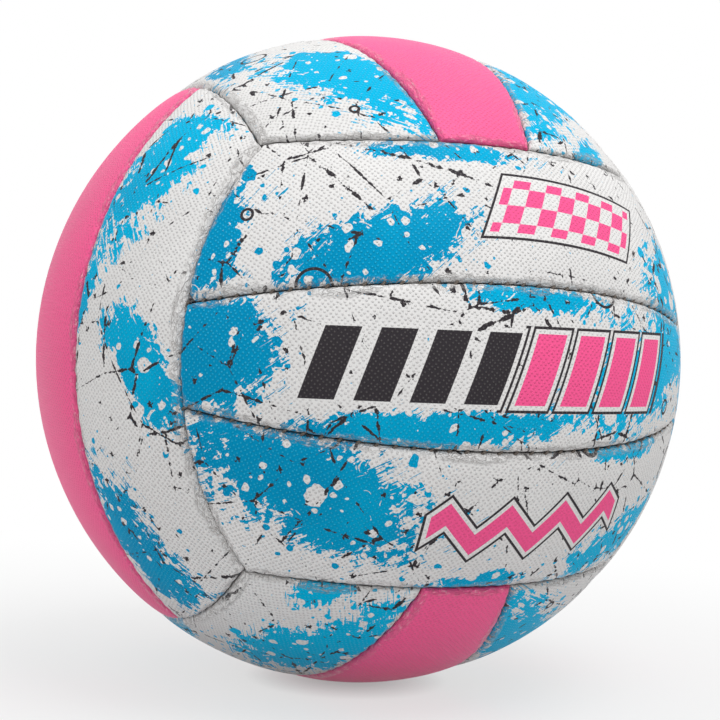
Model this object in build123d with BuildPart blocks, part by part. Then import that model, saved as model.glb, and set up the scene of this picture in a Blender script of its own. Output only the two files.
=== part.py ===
"""A hand-stitched netball: eighteen turned-edge panels sewn together over an inflated bladder.

The ball has six faces of three strips. Each face runs its strips square to those of the faces beside it,
so one die cuts all six middle panels and a second die cuts all twelve side panels.
The origin is the centre of the ball and +Z is up. The front face looks to -Y and its strips lie level.
Lengths are in millimetres and angles in radians. In a face's own frame x runs along the strips,
y runs across them and z points out of the ball.
"""

import math
import os

from build123d import *

# Ball and panel layout
circumference = 700.0
middle_strip_width = 50.0  # across a middle panel at the centre of its face
seam_bow = 15.4  # how far strips reach past the great circle between two corners, at mid-edge

# Panels
cover_thickness = 1.2
lining_thickness = 1.0
flange_depth = 6.0  # from the ball's surface to the edge of the turned-in flange
edge_round = 1.6  # outer round where a panel turns into the seam
seam_gap = 0.15  # from the seam's middle to either panel
bond_gap = 0.05  # glue line

# Stitching
thread_radius = 0.4
thread_bend = 0.6  # radius of the thread's middle line where it leaves a hole
thread_tail = 0.3
stitch_pitch = 5.4
corner_clearance = 4.0  # left unsewn at each corner, past the spaces of the stitches
tee_clearance = 1.0  # likewise at each end of a strip seam
stitch_depth = 4.0  # from the ball's surface to the line of holes
stitch_clearance = 0.15  # round the thread in its hole

# Bladder
bladder_thickness = 0.9
bladder_clearance = 0.3  # to the edges of the flanges

# Valve, at the centre of one face
valve_face = "right"
sleeve_radius = 4.5
sleeve_clearance = 0.2  # round the sleeve in the panel, the lining, the patch and the bladder
valve_recess = 0.3  # from the ball's surface down to the valve's end
valve_length = 19.0
base_radius = 13.0
base_thickness = 1.6
patch_radius = 18.0
patch_thickness = 1.2
plug_head_radius = 3.2
plug_head_thickness = 1.8
plug_stem_radius = 2.1
plug_stem_length = 18.0
plug_tip_chamfer = 0.6
plug_clearance = 0.1
needle_hole_radius = 1.05
needle_hole_depth = 8.0

# Radii of the layers
ball_radius = circumference / (2 * math.pi)
lining_radius = ball_radius - cover_thickness - bond_gap
bladder_radius = ball_radius - flange_depth - bladder_clearance
bladder_inside = bladder_radius - bladder_thickness
stitch_radius = ball_radius - stitch_depth
thread_offset = seam_gap + cover_thickness + thread_bend
port_radius = sleeve_radius + sleeve_clearance
poles_aside = (90, 0, 0)  # turns a sphere so that its poles lie off the panels

# An edge seam lies in the plane through two corners and the bowed middle of the edge between them
corner_reach = ball_radius / math.sqrt(3)
middle_of_edge = math.pi / 4 + seam_bow / ball_radius
edge_lean = math.atan2(
    ball_radius * math.cos(middle_of_edge) - corner_reach,
    ball_radius * math.sin(middle_of_edge) - corner_reach,
)
edge_height = corner_reach * (math.cos(edge_lean) - math.sin(edge_lean))

# A strip seam lies in a plane through the ball's centre
strip_lean = middle_strip_width / 2 / ball_radius


class Seam:
    """A seam in one plane, whose frame has z square to the plane and x towards the seam's middle."""

    def __init__(self, middle, axis, height):
        self.frame = Plane(Vector(axis) * height, x_dir=middle, z_dir=axis)
        self.stitch_ring = math.sqrt(stitch_radius**2 - height**2)

    def stitch(self, angle):
        """Plane at one stitch, with z along the hole."""
        place = (self.stitch_ring * math.cos(angle), self.stitch_ring * math.sin(angle))
        return Plane(self.frame.from_local_coords(place), z_dir=self.frame.z_dir)


def end_seam(end):
    """Where a face's three strips end, at end +1 or -1 of its x."""
    sine, cosine = math.sin(edge_lean), math.cos(edge_lean)
    return Seam((end * cosine, 0, sine), (-end * sine, 0, cosine), edge_height)


def long_seam(side, lean, height):
    """A seam that runs along the strips, at side +1 or -1 of the face's y."""
    sine, cosine = math.sin(lean), math.cos(lean)
    return Seam((0, side * sine, cosine), (0, side * cosine, -sine), height)


def side_seam(side):
    """Where the strips of the face beside this one end against its side panel."""
    return long_seam(side, edge_lean, edge_height)


def strip_seam(side):
    """Between a middle panel and a side panel."""
    return long_seam(side, strip_lean, 0)


# A panel's seams, each with True where the panel lies on the +z side of the seam's plane
middle_seams = [
    (end_seam(1), True),
    (end_seam(-1), True),
    (strip_seam(1), False),
    (strip_seam(-1), False),
]
side_seams = [
    (end_seam(1), True),
    (end_seam(-1), True),
    (strip_seam(1), True),
    (side_seam(1), False),
]

# Angles from the middle of a seam to where it meets others, at the depth of the stitches
edge_ring = end_seam(1).stitch_ring
edge_to_corner = math.asin(corner_reach / edge_ring)
strip_tilt = math.sin(edge_lean) * math.tan(strip_lean)
edge_to_strip = math.atan(strip_tilt) + math.asin(
    edge_height * math.cos(edge_lean) * math.tan(strip_lean) / math.hypot(1, strip_tilt) / edge_ring
)
end_slope = math.atan2(math.sin(edge_lean), math.cos(edge_lean) * math.cos(strip_lean))
end_reach = stitch_radius * math.hypot(math.sin(edge_lean), math.cos(edge_lean) * math.cos(strip_lean))
strip_to_edge = math.acos(edge_height / end_reach) - end_slope


def spread(start, end, count):
    """Angles of evenly spaced stitches, half a space clear of both ends."""
    space = (end - start) / count
    return [start + space * (index + 0.5) for index in range(count)]


def even_count(length):
    """Even number of stitches nearest to the pitch."""
    return 2 * max(1, round(length / stitch_pitch / 2))


edge_end = edge_to_corner - corner_clearance / edge_ring
outer_count = even_count(edge_ring * (edge_end - edge_to_strip))
inner_count = even_count(edge_ring * 2 * edge_to_strip)
outer_stitches = spread(edge_to_strip, edge_end, outer_count)
inner_stitches = spread(-edge_to_strip, edge_to_strip, inner_count)
edge_stitches = [-angle for angle in reversed(outer_stitches)] + inner_stitches + outer_stitches
strip_end = strip_to_edge - tee_clearance / stitch_radius
strip_count = even_count(stitch_radius * 2 * strip_end)
strip_stitches = spread(-strip_end, strip_end, strip_count)


def panel_block(seams, radius, inset):
    """Wedge of a sphere within a panel's seams, set back from them by inset."""
    with BuildPart() as block:
        Sphere(radius, rotation=poles_aside)
        for seam, above in seams:
            if above:
                split(bisect_by=seam.frame.offset(inset), keep=Keep.TOP)
            else:
                split(bisect_by=seam.frame.offset(-inset), keep=Keep.BOTTOM)
    return block.part


def stitch_holes(seam, angles):
    """Round holes through a panel's flange along one seam."""
    with BuildPart() as holes:
        with Locations(*[seam.stitch(angle) for angle in angles]):
            Cylinder(thread_radius + stitch_clearance, 2 * thread_offset)
    return holes.part


def make_cover(seams, holes):
    """Outer skin of a panel, a shallow tray whose edges turn in as flanges for the stitching."""
    block = panel_block(seams, ball_radius, seam_gap)
    hollow = panel_block(seams, ball_radius - cover_thickness, seam_gap + cover_thickness)
    with BuildPart() as cover:
        add(block)
        fillet(cover.edges().sort_by_distance((0, 0, 0))[-len(seams):], radius=edge_round)
        add(hollow, mode=Mode.SUBTRACT)
        Sphere(ball_radius - flange_depth, rotation=poles_aside, mode=Mode.SUBTRACT)
        add(holes, mode=Mode.SUBTRACT)
    return cover.part


def make_lining(seams):
    """Cloth backing glued behind a panel's cover, inside its flanges."""
    block = panel_block(seams, lining_radius, seam_gap + cover_thickness + bond_gap)
    with BuildPart() as lining:
        add(block)
        Sphere(lining_radius - lining_thickness, rotation=poles_aside, mode=Mode.SUBTRACT)
    return lining.part


def make_thread(seam, angles, side):
    """One thread that starts on one side of its seam, runs from hole to hole and changes sides at each."""
    points = []
    for angle in angles:
        stitch = seam.stitch(angle)
        points += [stitch.offset(side * thread_offset).origin, stitch.offset(-side * thread_offset).origin]
        side = -side
    points[0] += (points[0] - points[1]).normalized() * thread_tail
    points[-1] += (points[-1] - points[-2]).normalized() * thread_tail
    with BuildPart() as thread:
        with BuildLine() as path:
            FilletPolyline(*points, radius=thread_bend)
        with BuildSketch(Plane(path.line @ 0, z_dir=path.line % 0)):
            Circle(thread_radius)
        sweep()
    return thread.part


def save(piece, name):
    """Label a piece and write it to its own file."""
    piece.part.label = name
    export_step(piece.part, f"parts/{name}.step")


os.makedirs("parts", exist_ok=True)

# The two dies, each with the holes of its four seams
end_holes = [stitch_holes(end_seam(end), inner_stitches) for end in (1, -1)]
strip_holes = [stitch_holes(strip_seam(side), strip_stitches) for side in (1, -1)]
middle_cover = make_cover(middle_seams, end_holes + strip_holes)
middle_lining = make_lining(middle_seams)

outer_ends = [
    stitch_holes(end_seam(1), outer_stitches),
    stitch_holes(end_seam(-1), [-angle for angle in outer_stitches]),
]
side_holes = stitch_holes(side_seam(1), edge_stitches)
side_cover = make_cover(side_seams, outer_ends + [strip_holes[0], side_holes])
side_lining = make_lining(side_seams)

# The two threads. An edge thread starts outside its face, so it is there again where it passes the strip seams
edge_thread = make_thread(end_seam(1), edge_stitches, -1)
strip_thread = make_thread(strip_seam(1), strip_stitches, 1)

# Each face: the way out, the way its strips run, what lies at each side of them and at each end
faces = {
    "front": ((0, -1, 0), (1, 0, 0), ("top", "bottom"), ("right", "left")),
    "back": ((0, 1, 0), (-1, 0, 0), ("top", "bottom"), ("left", "right")),
    "left": ((-1, 0, 0), (0, 0, 1), ("back", "front"), ("top", "bottom")),
    "right": ((1, 0, 0), (0, 0, 1), ("front", "back"), ("top", "bottom")),
    "top": ((0, 0, 1), (0, 1, 0), ("left", "right"), ("back", "front")),
    "bottom": ((0, 0, -1), (0, 1, 0), ("right", "left"), ("back", "front")),
}

for face, (outward, along, sides, ends) in faces.items():
    frame = Plane((0, 0, 0), x_dir=along, z_dir=outward)
    turned = Plane((0, 0, 0), x_dir=-Vector(along), z_dir=outward)

    for place, side, end in zip((frame, turned), sides, ends):
        with BuildPart(place) as side_panel:
            add(side_cover, clean=False)
        save(side_panel, f"panel_{face}_{side}")

        with BuildPart(place) as side_backing:
            add(side_lining, clean=False)
        save(side_backing, f"lining_{face}_{side}")

        with BuildPart(place) as edge_stitching:
            add(edge_thread, clean=False)
        save(edge_stitching, f"edge_thread_{face}_{end}")

    with BuildPart(frame) as middle_panel:
        add(middle_cover, clean=False)
        if face == valve_face:
            with Locations((0, 0, ball_radius + cover_thickness)):
                Hole(port_radius)
    save(middle_panel, f"panel_{face}_middle")

    with BuildPart(frame) as middle_backing:
        add(middle_lining, clean=False)
        if face == valve_face:
            with Locations((0, 0, ball_radius + cover_thickness)):
                Hole(port_radius)
    save(middle_backing, f"lining_{face}_middle")

    with BuildPart(frame, turned) as strip_stitching:
        add(strip_thread, clean=False)
    save(strip_stitching, f"strip_thread_{face}")

# The valve and the bladder share the frame of their face
outward, along, sides, ends = faces[valve_face]
valve_frame = Plane((0, 0, 0), x_dir=along, z_dir=outward)
valve_section = Plane((0, 0, 0), x_dir=along, z_dir=-valve_frame.y_dir)
valve_axis = Axis((0, 0, 0), outward)
valve_end = ball_radius - valve_recess


def height_on(radius, reach):
    """Height of a sphere of this radius above the ball's centre, at a reach from the valve's axis."""
    return math.sqrt(radius**2 - reach**2)


with BuildPart(valve_frame) as bladder:
    Sphere(bladder_radius)
    Sphere(bladder_inside, mode=Mode.SUBTRACT)
    with Locations((0, 0, bladder_radius)):
        Hole(port_radius, depth=2 * bladder_thickness)
save(bladder, "bladder")

# Ring of rubber glued over the bladder round the valve
patch_inside = bladder_radius + bond_gap
patch_outside = patch_inside + patch_thickness
with BuildPart() as valve_patch:
    with BuildSketch(valve_section):
        with BuildLine():
            low_start = (port_radius, height_on(patch_inside, port_radius))
            low_end = (patch_radius, height_on(patch_inside, patch_radius))
            high_start = (port_radius, height_on(patch_outside, port_radius))
            high_end = (patch_radius, height_on(patch_outside, patch_radius))
            RadiusArc(low_start, low_end, patch_inside)
            RadiusArc(high_start, high_end, patch_outside)
            Line(low_start, high_start)
            Line(low_end, high_end)
        make_face()
    revolve(axis=valve_axis)
save(valve_patch, "valve_patch")

# Sleeve with a base that is glued inside the bladder
base_outside = bladder_inside - bond_gap
base_rim = (base_radius, height_on(base_outside, base_radius))
base_neck = (sleeve_radius, height_on(base_outside, sleeve_radius))
base_under = base_rim[1] - base_thickness
bore_radius = plug_stem_radius + plug_clearance
seat_radius = plug_head_radius + plug_clearance
seat_height = valve_end - plug_head_thickness - plug_clearance
with BuildPart() as valve_body:
    with BuildSketch(valve_section):
        with BuildLine():
            RadiusArc(base_rim, base_neck, -base_outside)
            Polyline(
                base_neck,
                (sleeve_radius, valve_end),
                (seat_radius, valve_end),
                (seat_radius, seat_height),
                (bore_radius, seat_height),
                (bore_radius, valve_end - valve_length),
                (sleeve_radius, valve_end - valve_length),
                (sleeve_radius, base_under),
                (base_radius, base_under),
                base_rim,
            )
        make_face()
    revolve(axis=valve_axis)
save(valve_body, "valve_body")

# Rubber plug that seals round the pump's needle
plug_shoulder = valve_end - plug_head_thickness
with BuildPart(valve_frame.offset(plug_shoulder)) as valve_plug:
    Cylinder(plug_head_radius, plug_head_thickness, align=(Align.CENTER, Align.CENTER, Align.MIN))
    Cylinder(plug_stem_radius, plug_stem_length, align=(Align.CENTER, Align.CENTER, Align.MAX))
    tip = valve_plug.edges().sort_by(valve_axis)[0]
    chamfer(tip, length=plug_tip_chamfer)
    with Locations((0, 0, plug_head_thickness)):
        Hole(needle_hole_radius, depth=needle_hole_depth)
save(valve_plug, "valve_plug")
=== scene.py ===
"""The looks of a hand-stitched netball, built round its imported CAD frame.

Lengths are in metres and in the frame's axes: the origin is the ball's centre, +Z is up and the front face
looks to -Y. In a face's own frame x runs along the strips, y across them and z out of the ball.
The print is laid out on each panel's sheet, in millimetres from the panel's middle.
"""

import math
from itertools import product

import bmesh
import bpy
import numpy as np
from bpy.props import FloatProperty, FloatVectorProperty, PointerProperty
from mathutils import Matrix, Vector


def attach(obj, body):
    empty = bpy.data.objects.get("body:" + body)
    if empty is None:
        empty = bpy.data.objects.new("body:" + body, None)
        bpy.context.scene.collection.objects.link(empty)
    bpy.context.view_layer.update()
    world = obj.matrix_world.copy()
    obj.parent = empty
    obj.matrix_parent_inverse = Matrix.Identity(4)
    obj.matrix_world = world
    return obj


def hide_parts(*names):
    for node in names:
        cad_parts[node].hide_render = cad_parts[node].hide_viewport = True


bl_info = {
    "name": "Netball",
    "version": (1, 0, 0),
    "blender": (4, 5, 0),
    "location": "3D View > Sidebar > Netball",
    "description": "Builds a stitched and printed netball round its CAD frame",
    "category": "Object",
}

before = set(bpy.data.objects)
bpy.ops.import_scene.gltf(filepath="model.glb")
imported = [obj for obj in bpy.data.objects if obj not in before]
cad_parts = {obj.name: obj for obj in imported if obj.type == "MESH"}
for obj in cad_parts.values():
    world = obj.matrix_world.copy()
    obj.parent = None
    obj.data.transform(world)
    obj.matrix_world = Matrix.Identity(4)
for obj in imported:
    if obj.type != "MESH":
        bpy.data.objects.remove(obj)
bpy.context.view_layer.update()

MM = 0.001

# Each face: the way out, the way its strips run, and the names of its side panels at +y and -y
FACES = {
    "front": ((0, -1, 0), (1, 0, 0), "top", "bottom"),
    "back": ((0, 1, 0), (-1, 0, 0), "top", "bottom"),
    "left": ((-1, 0, 0), (0, 0, 1), "back", "front"),
    "right": ((1, 0, 0), (0, 0, 1), "front", "back"),
    "top": ((0, 0, 1), (0, 1, 0), "left", "right"),
    "bottom": ((0, 0, -1), (0, 1, 0), "right", "left"),
}
PINK_FACES = ("left", "right", "top", "bottom")
VALVE_FACE = "right"

# A stitch where it shows in a groove
THREAD_RADIUS = 0.00044
STITCH_HALF = 0.0011
STITCH_LEAN = 0.0010
STRIP_STITCH_DEPTH = 0.0015
EDGE_STITCH_DEPTH = 0.0022
STITCH_DIVE = 0.0012
STITCH_STEPS = 9
STITCH_SIDES = 10

# Left unsewn at each end of a strip's seam and of a face's edge
STRIP_SEAM_END = 0.012
EDGE_SEAM_END = 0.004

# Rows of a cover's mesh: over the turned edge, close beside it, then evenly. The inside keeps one in a few
EDGE_ROWS = 9
BESIDE_ROWS = 6
BESIDE_STEP = 0.00035
ALONG_STEP = 0.0006
ACROSS_STEP = 0.0008
INSIDE_ALONG = 5
INSIDE_ACROSS = 4
FLANGE_ROW = 0.78

# Turned edges: how far each effect of the sewing reaches from its seam, and the lengths of its ripples
CROWN_REACH = 0.0044
PUCKER_REACH = 0.002
SWELL_REACH = 0.004
SWELL_SHARE = 0.3
STITCH_WANDER = 0.0007
WANDER_LENGTH = 0.011
STITCH_SHARE = 0.14
RAGGED_LENGTH = 0.0032
RAGGED_SHARE = 0.16
CREASE_REACH = 0.0018
FOLD_LENGTH = 0.0042
FOLD_WIDTH = 0.0009
FOLD_SHARE = 0.6
CROSS_LENGTH = 0.0015
CROSS_WIDTH = 0.004
CROSS_SHARE = 0.7
SWAY_LENGTH = 0.024
SWAY_HEIGHT = 0.00012

# Between the seeds of two covers' ripples
SEED_STEP = 100

# The drill for the valve's hole
DRILL_LENGTH = 0.02
DRILL_SIDES = 64

# Opposite faces carry the same print. Each design has its own place on the sheet and its own brush strokes:
# where one lies along and across the panel, half its length, half its width and its turn in degrees
SHEET_STEP = 300.0
DESIGNS = {
    ("front", 0): (
        0,
        [(64, 3, 46, 18, 18), (-94, 0, 25, 20, 30), (-28, -19, 50, 6, 3), (8, 21, 26, 5, -4)],
    ),
    ("front", 1): (
        1,
        [(-92, 4, 20, 17, 40), (-40, -11, 34, 12, 13), (86, -5, 28, 18, 40), (-14, 20, 28, 4, -3)],
    ),
    ("front", -1): (
        2,
        [(-60, 5, 46, 18, -14), (68, -14, 34, 11, 12), (54, 20, 28, 4, -4), (2, -21, 18, 4, 6)],
    ),
    ("left", 1): (
        3,
        [(-66, -3, 30, 15, 40), (6, 10, 32, 11, -20), (66, -8, 26, 14, 30), (-18, -20, 16, 4, 0)],
    ),
    ("left", -1): (
        4,
        [(58, 4, 32, 15, -30), (-6, -12, 24, 10, 40), (-62, 6, 32, 14, 24), (16, 20, 16, 4, -14)],
    ),
    ("top", 1): (
        5,
        [(-64, -6, 36, 15, 18), (-14, 13, 22, 8, -30), (34, -6, 28, 10, 40), (76, 10, 20, 12, 0)],
    ),
    ("top", -1): (
        6,
        [(-56, 6, 38, 16, -14), (6, -15, 24, 7, 22), (56, 3, 30, 14, 34), (-88, -12, 12, 8, 0)],
    ),
}
PINK_DESIGN = 8

# Painted light and shade: the way along its panels in which the blue ink of each print pales, lit paler at
# one end and shaded deeper at the other
PAINTED_LIGHT_WAY = {"front": 1, "left": 1, "top": -1}

# The face whose print each face carries
PRINT_OF = {
    "front": "front",
    "back": "front",
    "left": "left",
    "right": "left",
    "top": "top",
    "bottom": "top",
}

# Motifs on the sheet, in millimetres: bars on design 0, checks on design 1 and a zigzag on design 2
BAR_COUNT = 8
BAR_PITCH = 16.0
BAR_WIDTH = 10.5
BAR_HEIGHT = 21.0
BAR_SLANT = 0.35
CHECKS_PLACE = (SHEET_STEP + 24, 1.0)
CHECK_SIZE = 6.0
CHECK_COUNT = (9, 3)
CHECK_SLANT = 0.5
ZIGZAG_PLACE = (2 * SHEET_STEP + 14, -1.0)
ZIGZAG_PITCH = 20.0
ZIGZAG_LENGTH = 70.0
ZIGZAG_WIDTH = 5.5
ZIGZAG_SLOPE = 0.75

# Loops: how many to a millimetre of the sheet, the largest and least radius, and half the line's width
LOOP_SPREAD = 0.02
LOOP_LARGEST = 5.5
LOOP_LEAST = 1.2
LOOP_LINE = 0.45

# Round a motif: the reach of its outline and of its white margin, and how softly ink ends
OUTLINE = 2.3
MARGIN = 1.45
MARGIN_EDGE = 0.15
INK_EDGE = 0.08

# Colours that darken a cover: painted shade round its pimples, a darker tint along the valleys of its
# creases, and painted shade with grime in the seam's groove
PIMPLE_SHADE = (0.3, 0.28, 0.28, 1)
CREASE_VALLEY_DARK = (0.3, 0.26, 0.25, 1)
GROOVE_SHADE = (0.12, 0.1, 0.1, 1)

# How much wear, rubbing, the painted shade and grime in the groove, the painted shade round the pimples and
# the painted highlight on pimpled ink show on a cover, then its relief and its coat
WORN_SHARE = 0.58
RUBBED_SHARE = 0.6
GROOVE_SHARE = 0.7
PIMPLE_SHADE_SHARE = 0.05
PIMPLE_HIGHLIGHT_SHARE = 0.5
PIMPLE_HEIGHT = 0.00024
CREASE_HEIGHT = 1.1
COAT_ROUGHNESS = 0.28

# The dark and the pale of the cloth, the thread and each rubber, and the wax on the thread
CLOTH = ((0.42, 0.40, 0.36, 1), (0.66, 0.63, 0.57, 1))
STRAND = ((0.06, 0.047, 0.038, 1), (0.17, 0.137, 0.11, 1))
WAX = (0.11, 0.088, 0.073, 1)
BUTYL = ((0.012, 0.012, 0.013, 1), (0.045, 0.044, 0.043, 1))
SLEEVE = ((0.02, 0.02, 0.021, 1), (0.05, 0.049, 0.05, 1))
PLUG = ((0.035, 0.035, 0.036, 1), (0.075, 0.073, 0.072, 1))

# Stage: each lamp's place, size and power, the world's light, the floor and the camera's shift
LAMPS = (
    ("key", (0.2, -0.75, 1.5), 0.9, 15.6),
    ("overhead", (0.1, 0.2, 1.7), 1.8, 4.0),
    ("fill", (-1.5, -0.7, 0.5), 1.2, 3.4),
)
WORLD_LIGHT = 0.6
FLOOR_COLOUR = (0.62, 0.62, 0.62, 1)
FLOOR_RADIUS = 8.0
FLOOR_SIDES = 96
FLOOR_GAP = 0.0006
LENS_SHIFT = (0.0026, -0.0011)


class BallSizes(bpy.types.PropertyGroup):
    """Sizes of the panels and their seams."""

    circumference: FloatProperty(
        name="Circumference", description="Round the inflated ball", default=0.7, unit="LENGTH"
    )
    strip_width: FloatProperty(
        name="Strip width",
        description="Across a middle panel at the centre of its face",
        default=0.05,
        unit="LENGTH",
    )
    seam_bow: FloatProperty(
        name="Seam bow",
        description="How far strips reach past the great circle between two corners",
        default=0.0154,
        unit="LENGTH",
    )
    seam_gap: FloatProperty(
        name="Seam gap",
        description="From the seam's middle to either panel",
        default=0.00015,
        unit="LENGTH",
    )
    cover_thickness: FloatProperty(
        name="Cover thickness",
        description="Through a panel's rubber skin",
        default=0.0012,
        unit="LENGTH",
    )
    flange_depth: FloatProperty(
        name="Flange depth",
        description="From the surface to the turned-in edge",
        default=0.006,
        unit="LENGTH",
    )
    turned_edge: FloatProperty(
        name="Turned edge",
        description="Width of the rounded edge beside a seam",
        default=0.0019,
        unit="LENGTH",
    )
    crown: FloatProperty(
        name="Crown",
        description="How far the middle of a panel stands above its edge",
        default=0.0007,
        unit="LENGTH",
    )
    stitch_pitch: FloatProperty(
        name="Stitch pitch",
        description="Between stitches along a seam",
        default=0.0054,
        unit="LENGTH",
    )
    pucker: FloatProperty(
        name="Pucker",
        description="How far a stitch pulls the edge down",
        default=0.00022,
        unit="LENGTH",
    )
    wrinkle: FloatProperty(
        name="Wrinkle",
        description="Height of the creases on a turned edge",
        default=0.00015,
        unit="LENGTH",
    )
    valve_port: FloatProperty(
        name="Valve port",
        description="Radius of the hole round the valve",
        default=0.0047,
        unit="LENGTH",
    )


class BallFinish(bpy.types.PropertyGroup):
    """Colours and grain of the covers."""

    white: FloatVectorProperty(
        name="White",
        description="Ground of the printed panels",
        subtype="COLOR",
        size=4,
        default=(0.82, 0.81, 0.80, 1),
    )
    # Painted light: the blue ink at the lit end of a panel, where it is palest
    blue: FloatVectorProperty(
        name="Blue",
        description="Brush strokes at their palest",
        subtype="COLOR",
        size=4,
        default=(0.0, 0.47, 0.77, 1),
    )
    # Painted shade: the blue ink at the shaded end of a panel, where it is deepest
    shaded_blue: FloatVectorProperty(
        name="Shaded blue",
        description="Brush strokes at their deepest",
        subtype="COLOR",
        size=4,
        default=(0.0, 0.28, 0.53, 1),
    )
    # Painted highlight: paler blue on top of the pimples, where they would catch the light
    pimple_highlight_blue: FloatVectorProperty(
        name="Blue pimple highlight",
        description="Brush strokes on top of the pimples",
        subtype="COLOR",
        size=4,
        default=(0.02, 0.62, 0.94, 1),
    )
    pink: FloatVectorProperty(
        name="Pink",
        description="Pink panels and bars",
        subtype="COLOR",
        size=4,
        default=(1.0, 0.115, 0.32, 1),
    )
    charcoal: FloatVectorProperty(
        name="Charcoal",
        description="Scratches and outlines",
        subtype="COLOR",
        size=4,
        default=(0.04, 0.035, 0.04, 1),
    )
    # Painted highlight: lighter charcoal on top of the pimples, where they would catch the light
    pimple_highlight_charcoal: FloatVectorProperty(
        name="Charcoal pimple highlight",
        description="Charcoal print on top of the pimples",
        subtype="COLOR",
        size=4,
        default=(0.085, 0.078, 0.08, 1),
    )
    worn_print: FloatVectorProperty(
        name="Worn print",
        description="In the creases of printed edges",
        subtype="COLOR",
        size=4,
        default=(0.60, 0.58, 0.565, 1),
    )
    worn_pink: FloatVectorProperty(
        name="Worn pink",
        description="In the creases of pink edges",
        subtype="COLOR",
        size=4,
        default=(0.95, 0.14, 0.33, 1),
    )
    rubbed_pink: FloatVectorProperty(
        name="Rubbed pink",
        description="Flecks where a pink edge has rubbed pale",
        subtype="COLOR",
        size=4,
        default=(1.0, 0.5, 0.58, 1),
    )
    pimple_pitch: FloatProperty(
        name="Pimple pitch",
        description="Between pimples of the grip, in mm",
        default=1.26,
        min=0.5,
        max=3,
    )


class PhotoView(bpy.types.PropertyGroup):
    """Where the camera stands."""

    azimuth: FloatProperty(
        name="Azimuth",
        description="Round the ball from the front",
        default=math.radians(-24.67),
        subtype="ANGLE",
    )
    elevation: FloatProperty(
        name="Elevation", description="Above level", default=math.radians(0.61), subtype="ANGLE"
    )
    roll: FloatProperty(
        name="Roll",
        description="Of the camera about its line of sight",
        default=math.radians(2.305),
        subtype="ANGLE",
    )
    distance: FloatProperty(
        name="Distance", description="From the ball's centre", default=0.5536, unit="LENGTH"
    )
    field_of_view: FloatProperty(
        name="Field of view",
        description="Across the picture",
        default=math.radians(25.78),
        subtype="ANGLE",
    )


def smooth_noise(points, seed):
    """Value noise from -1 to 1 at each point, in cells of one unit."""
    cell = np.floor(points).astype(np.int64)
    part = points - cell
    part = part * part * (3 - 2 * part)
    total = np.zeros(len(points))
    for corner in product((0, 1), repeat=3):
        x, y, z = (cell + np.array(corner)).T
        code = (x * 73856093) ^ (y * 19349663) ^ (z * 83492791) ^ (seed * 2654435761)
        code = ((code ^ (code >> 13)) * 1274126177) & 0xFFFFFFFF
        value = ((code ^ (code >> 16)) & 0xFFFF) / 32767.5 - 1
        total += value * np.prod(np.where(np.array(corner), part, 1 - part), axis=1)
    return total


class Seam:
    """The circle where a plane cuts the ball.

    Its panel lies on the side that the axis points to where side is 1, and on the other where it is -1.
    """

    def __init__(self, axis, middle, height, side):
        self.axis = np.array(axis, float)
        self.middle = np.array(middle, float)
        self.height = height
        self.side = side

    def level(self, inset):
        """Height of the seam's plane, moved into the panel by inset."""
        return self.height + self.side * inset

    def distance(self, outward, radius, inset):
        """How far each direction lies inside the panel's edge, over the surface."""
        edge = math.acos(self.level(inset) / radius)
        return self.side * (edge - np.arccos(np.clip(outward @ self.axis, -1, 1))) * radius

    def along(self, outward, radius):
        """How far each direction lies along the seam from its middle."""
        across = np.cross(self.axis, self.middle)
        return np.arctan2(outward @ across, outward @ self.middle) * math.sqrt(radius**2 - self.height**2)

    def arc(self, inset, start, end, steps):
        """Points on the circle from start to end."""
        centre = self.axis * self.level(inset)
        first, last = start - centre, end - centre
        angle = math.atan2(self.axis @ np.cross(first, last), first @ last)
        turn = steps[:, None] * angle
        return centre + np.cos(turn) * first + np.sin(turn) * np.cross(self.axis, first)


def seams_meet(one, two, radius, inset):
    """The outer point where two seams cross on a sphere."""
    line = np.cross(one.axis, two.axis)
    base = np.linalg.solve(np.array([one.axis, two.axis, line]), [one.level(inset), two.level(inset), 0])
    reach = math.sqrt((radius**2 - base @ base) / (line @ line))
    return max(base + reach * line, base - reach * line, key=lambda point: point[2])


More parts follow.
